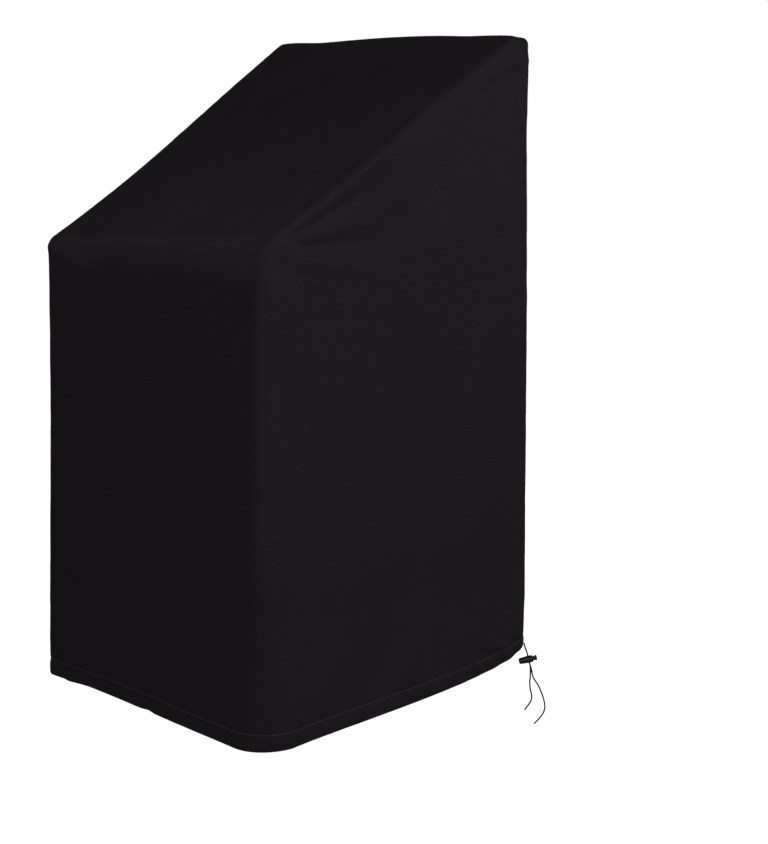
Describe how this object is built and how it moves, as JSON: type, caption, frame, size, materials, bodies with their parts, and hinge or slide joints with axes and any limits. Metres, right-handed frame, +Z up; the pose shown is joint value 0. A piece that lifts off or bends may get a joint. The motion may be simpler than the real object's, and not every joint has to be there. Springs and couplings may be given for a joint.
{
  "type": "patio furniture cover",
  "caption": "Tall black cloth cover for stacked patio chairs, with a sloping front top, open underside, turned hem and a drawcord with a push-button cord lock.",
  "frame": {"origin": "under the middle of the top ridge, on the cloth's inner face, where the covered chairs hold the cover up", "axes": "+Z up, -Y towards the low front, +Y towards the tall back, +X towards the right side panel, at whose back corner the drawcord hangs"},
  "size_m": [0.6826, 0.7044, 1.3435],
  "materials": {
    "cloth": "black woven polyester with a faint sheen",
    "cord": "black braided cord",
    "lock": "black moulded plastic"
  },
  "bodies": {
    "cover": {"centre_strip": "cloth", "side_panel_right": "cloth", "side_panel_left": "cloth", "drawcord_short": "cord", "drawcord_long": "cord", "lock_barrel": "lock"},
    "button": {"lock_button": "lock"}
  },
  "joints": [
    {"name": "button_press", "type": "slide", "parent": "cover", "child": "button", "axis": [-0.6821, -0.6941, -0.2301], "range_m": [0, 0.004], "stiffness_N_per_m": 300, "springref_m": -0.006}
  ]
}
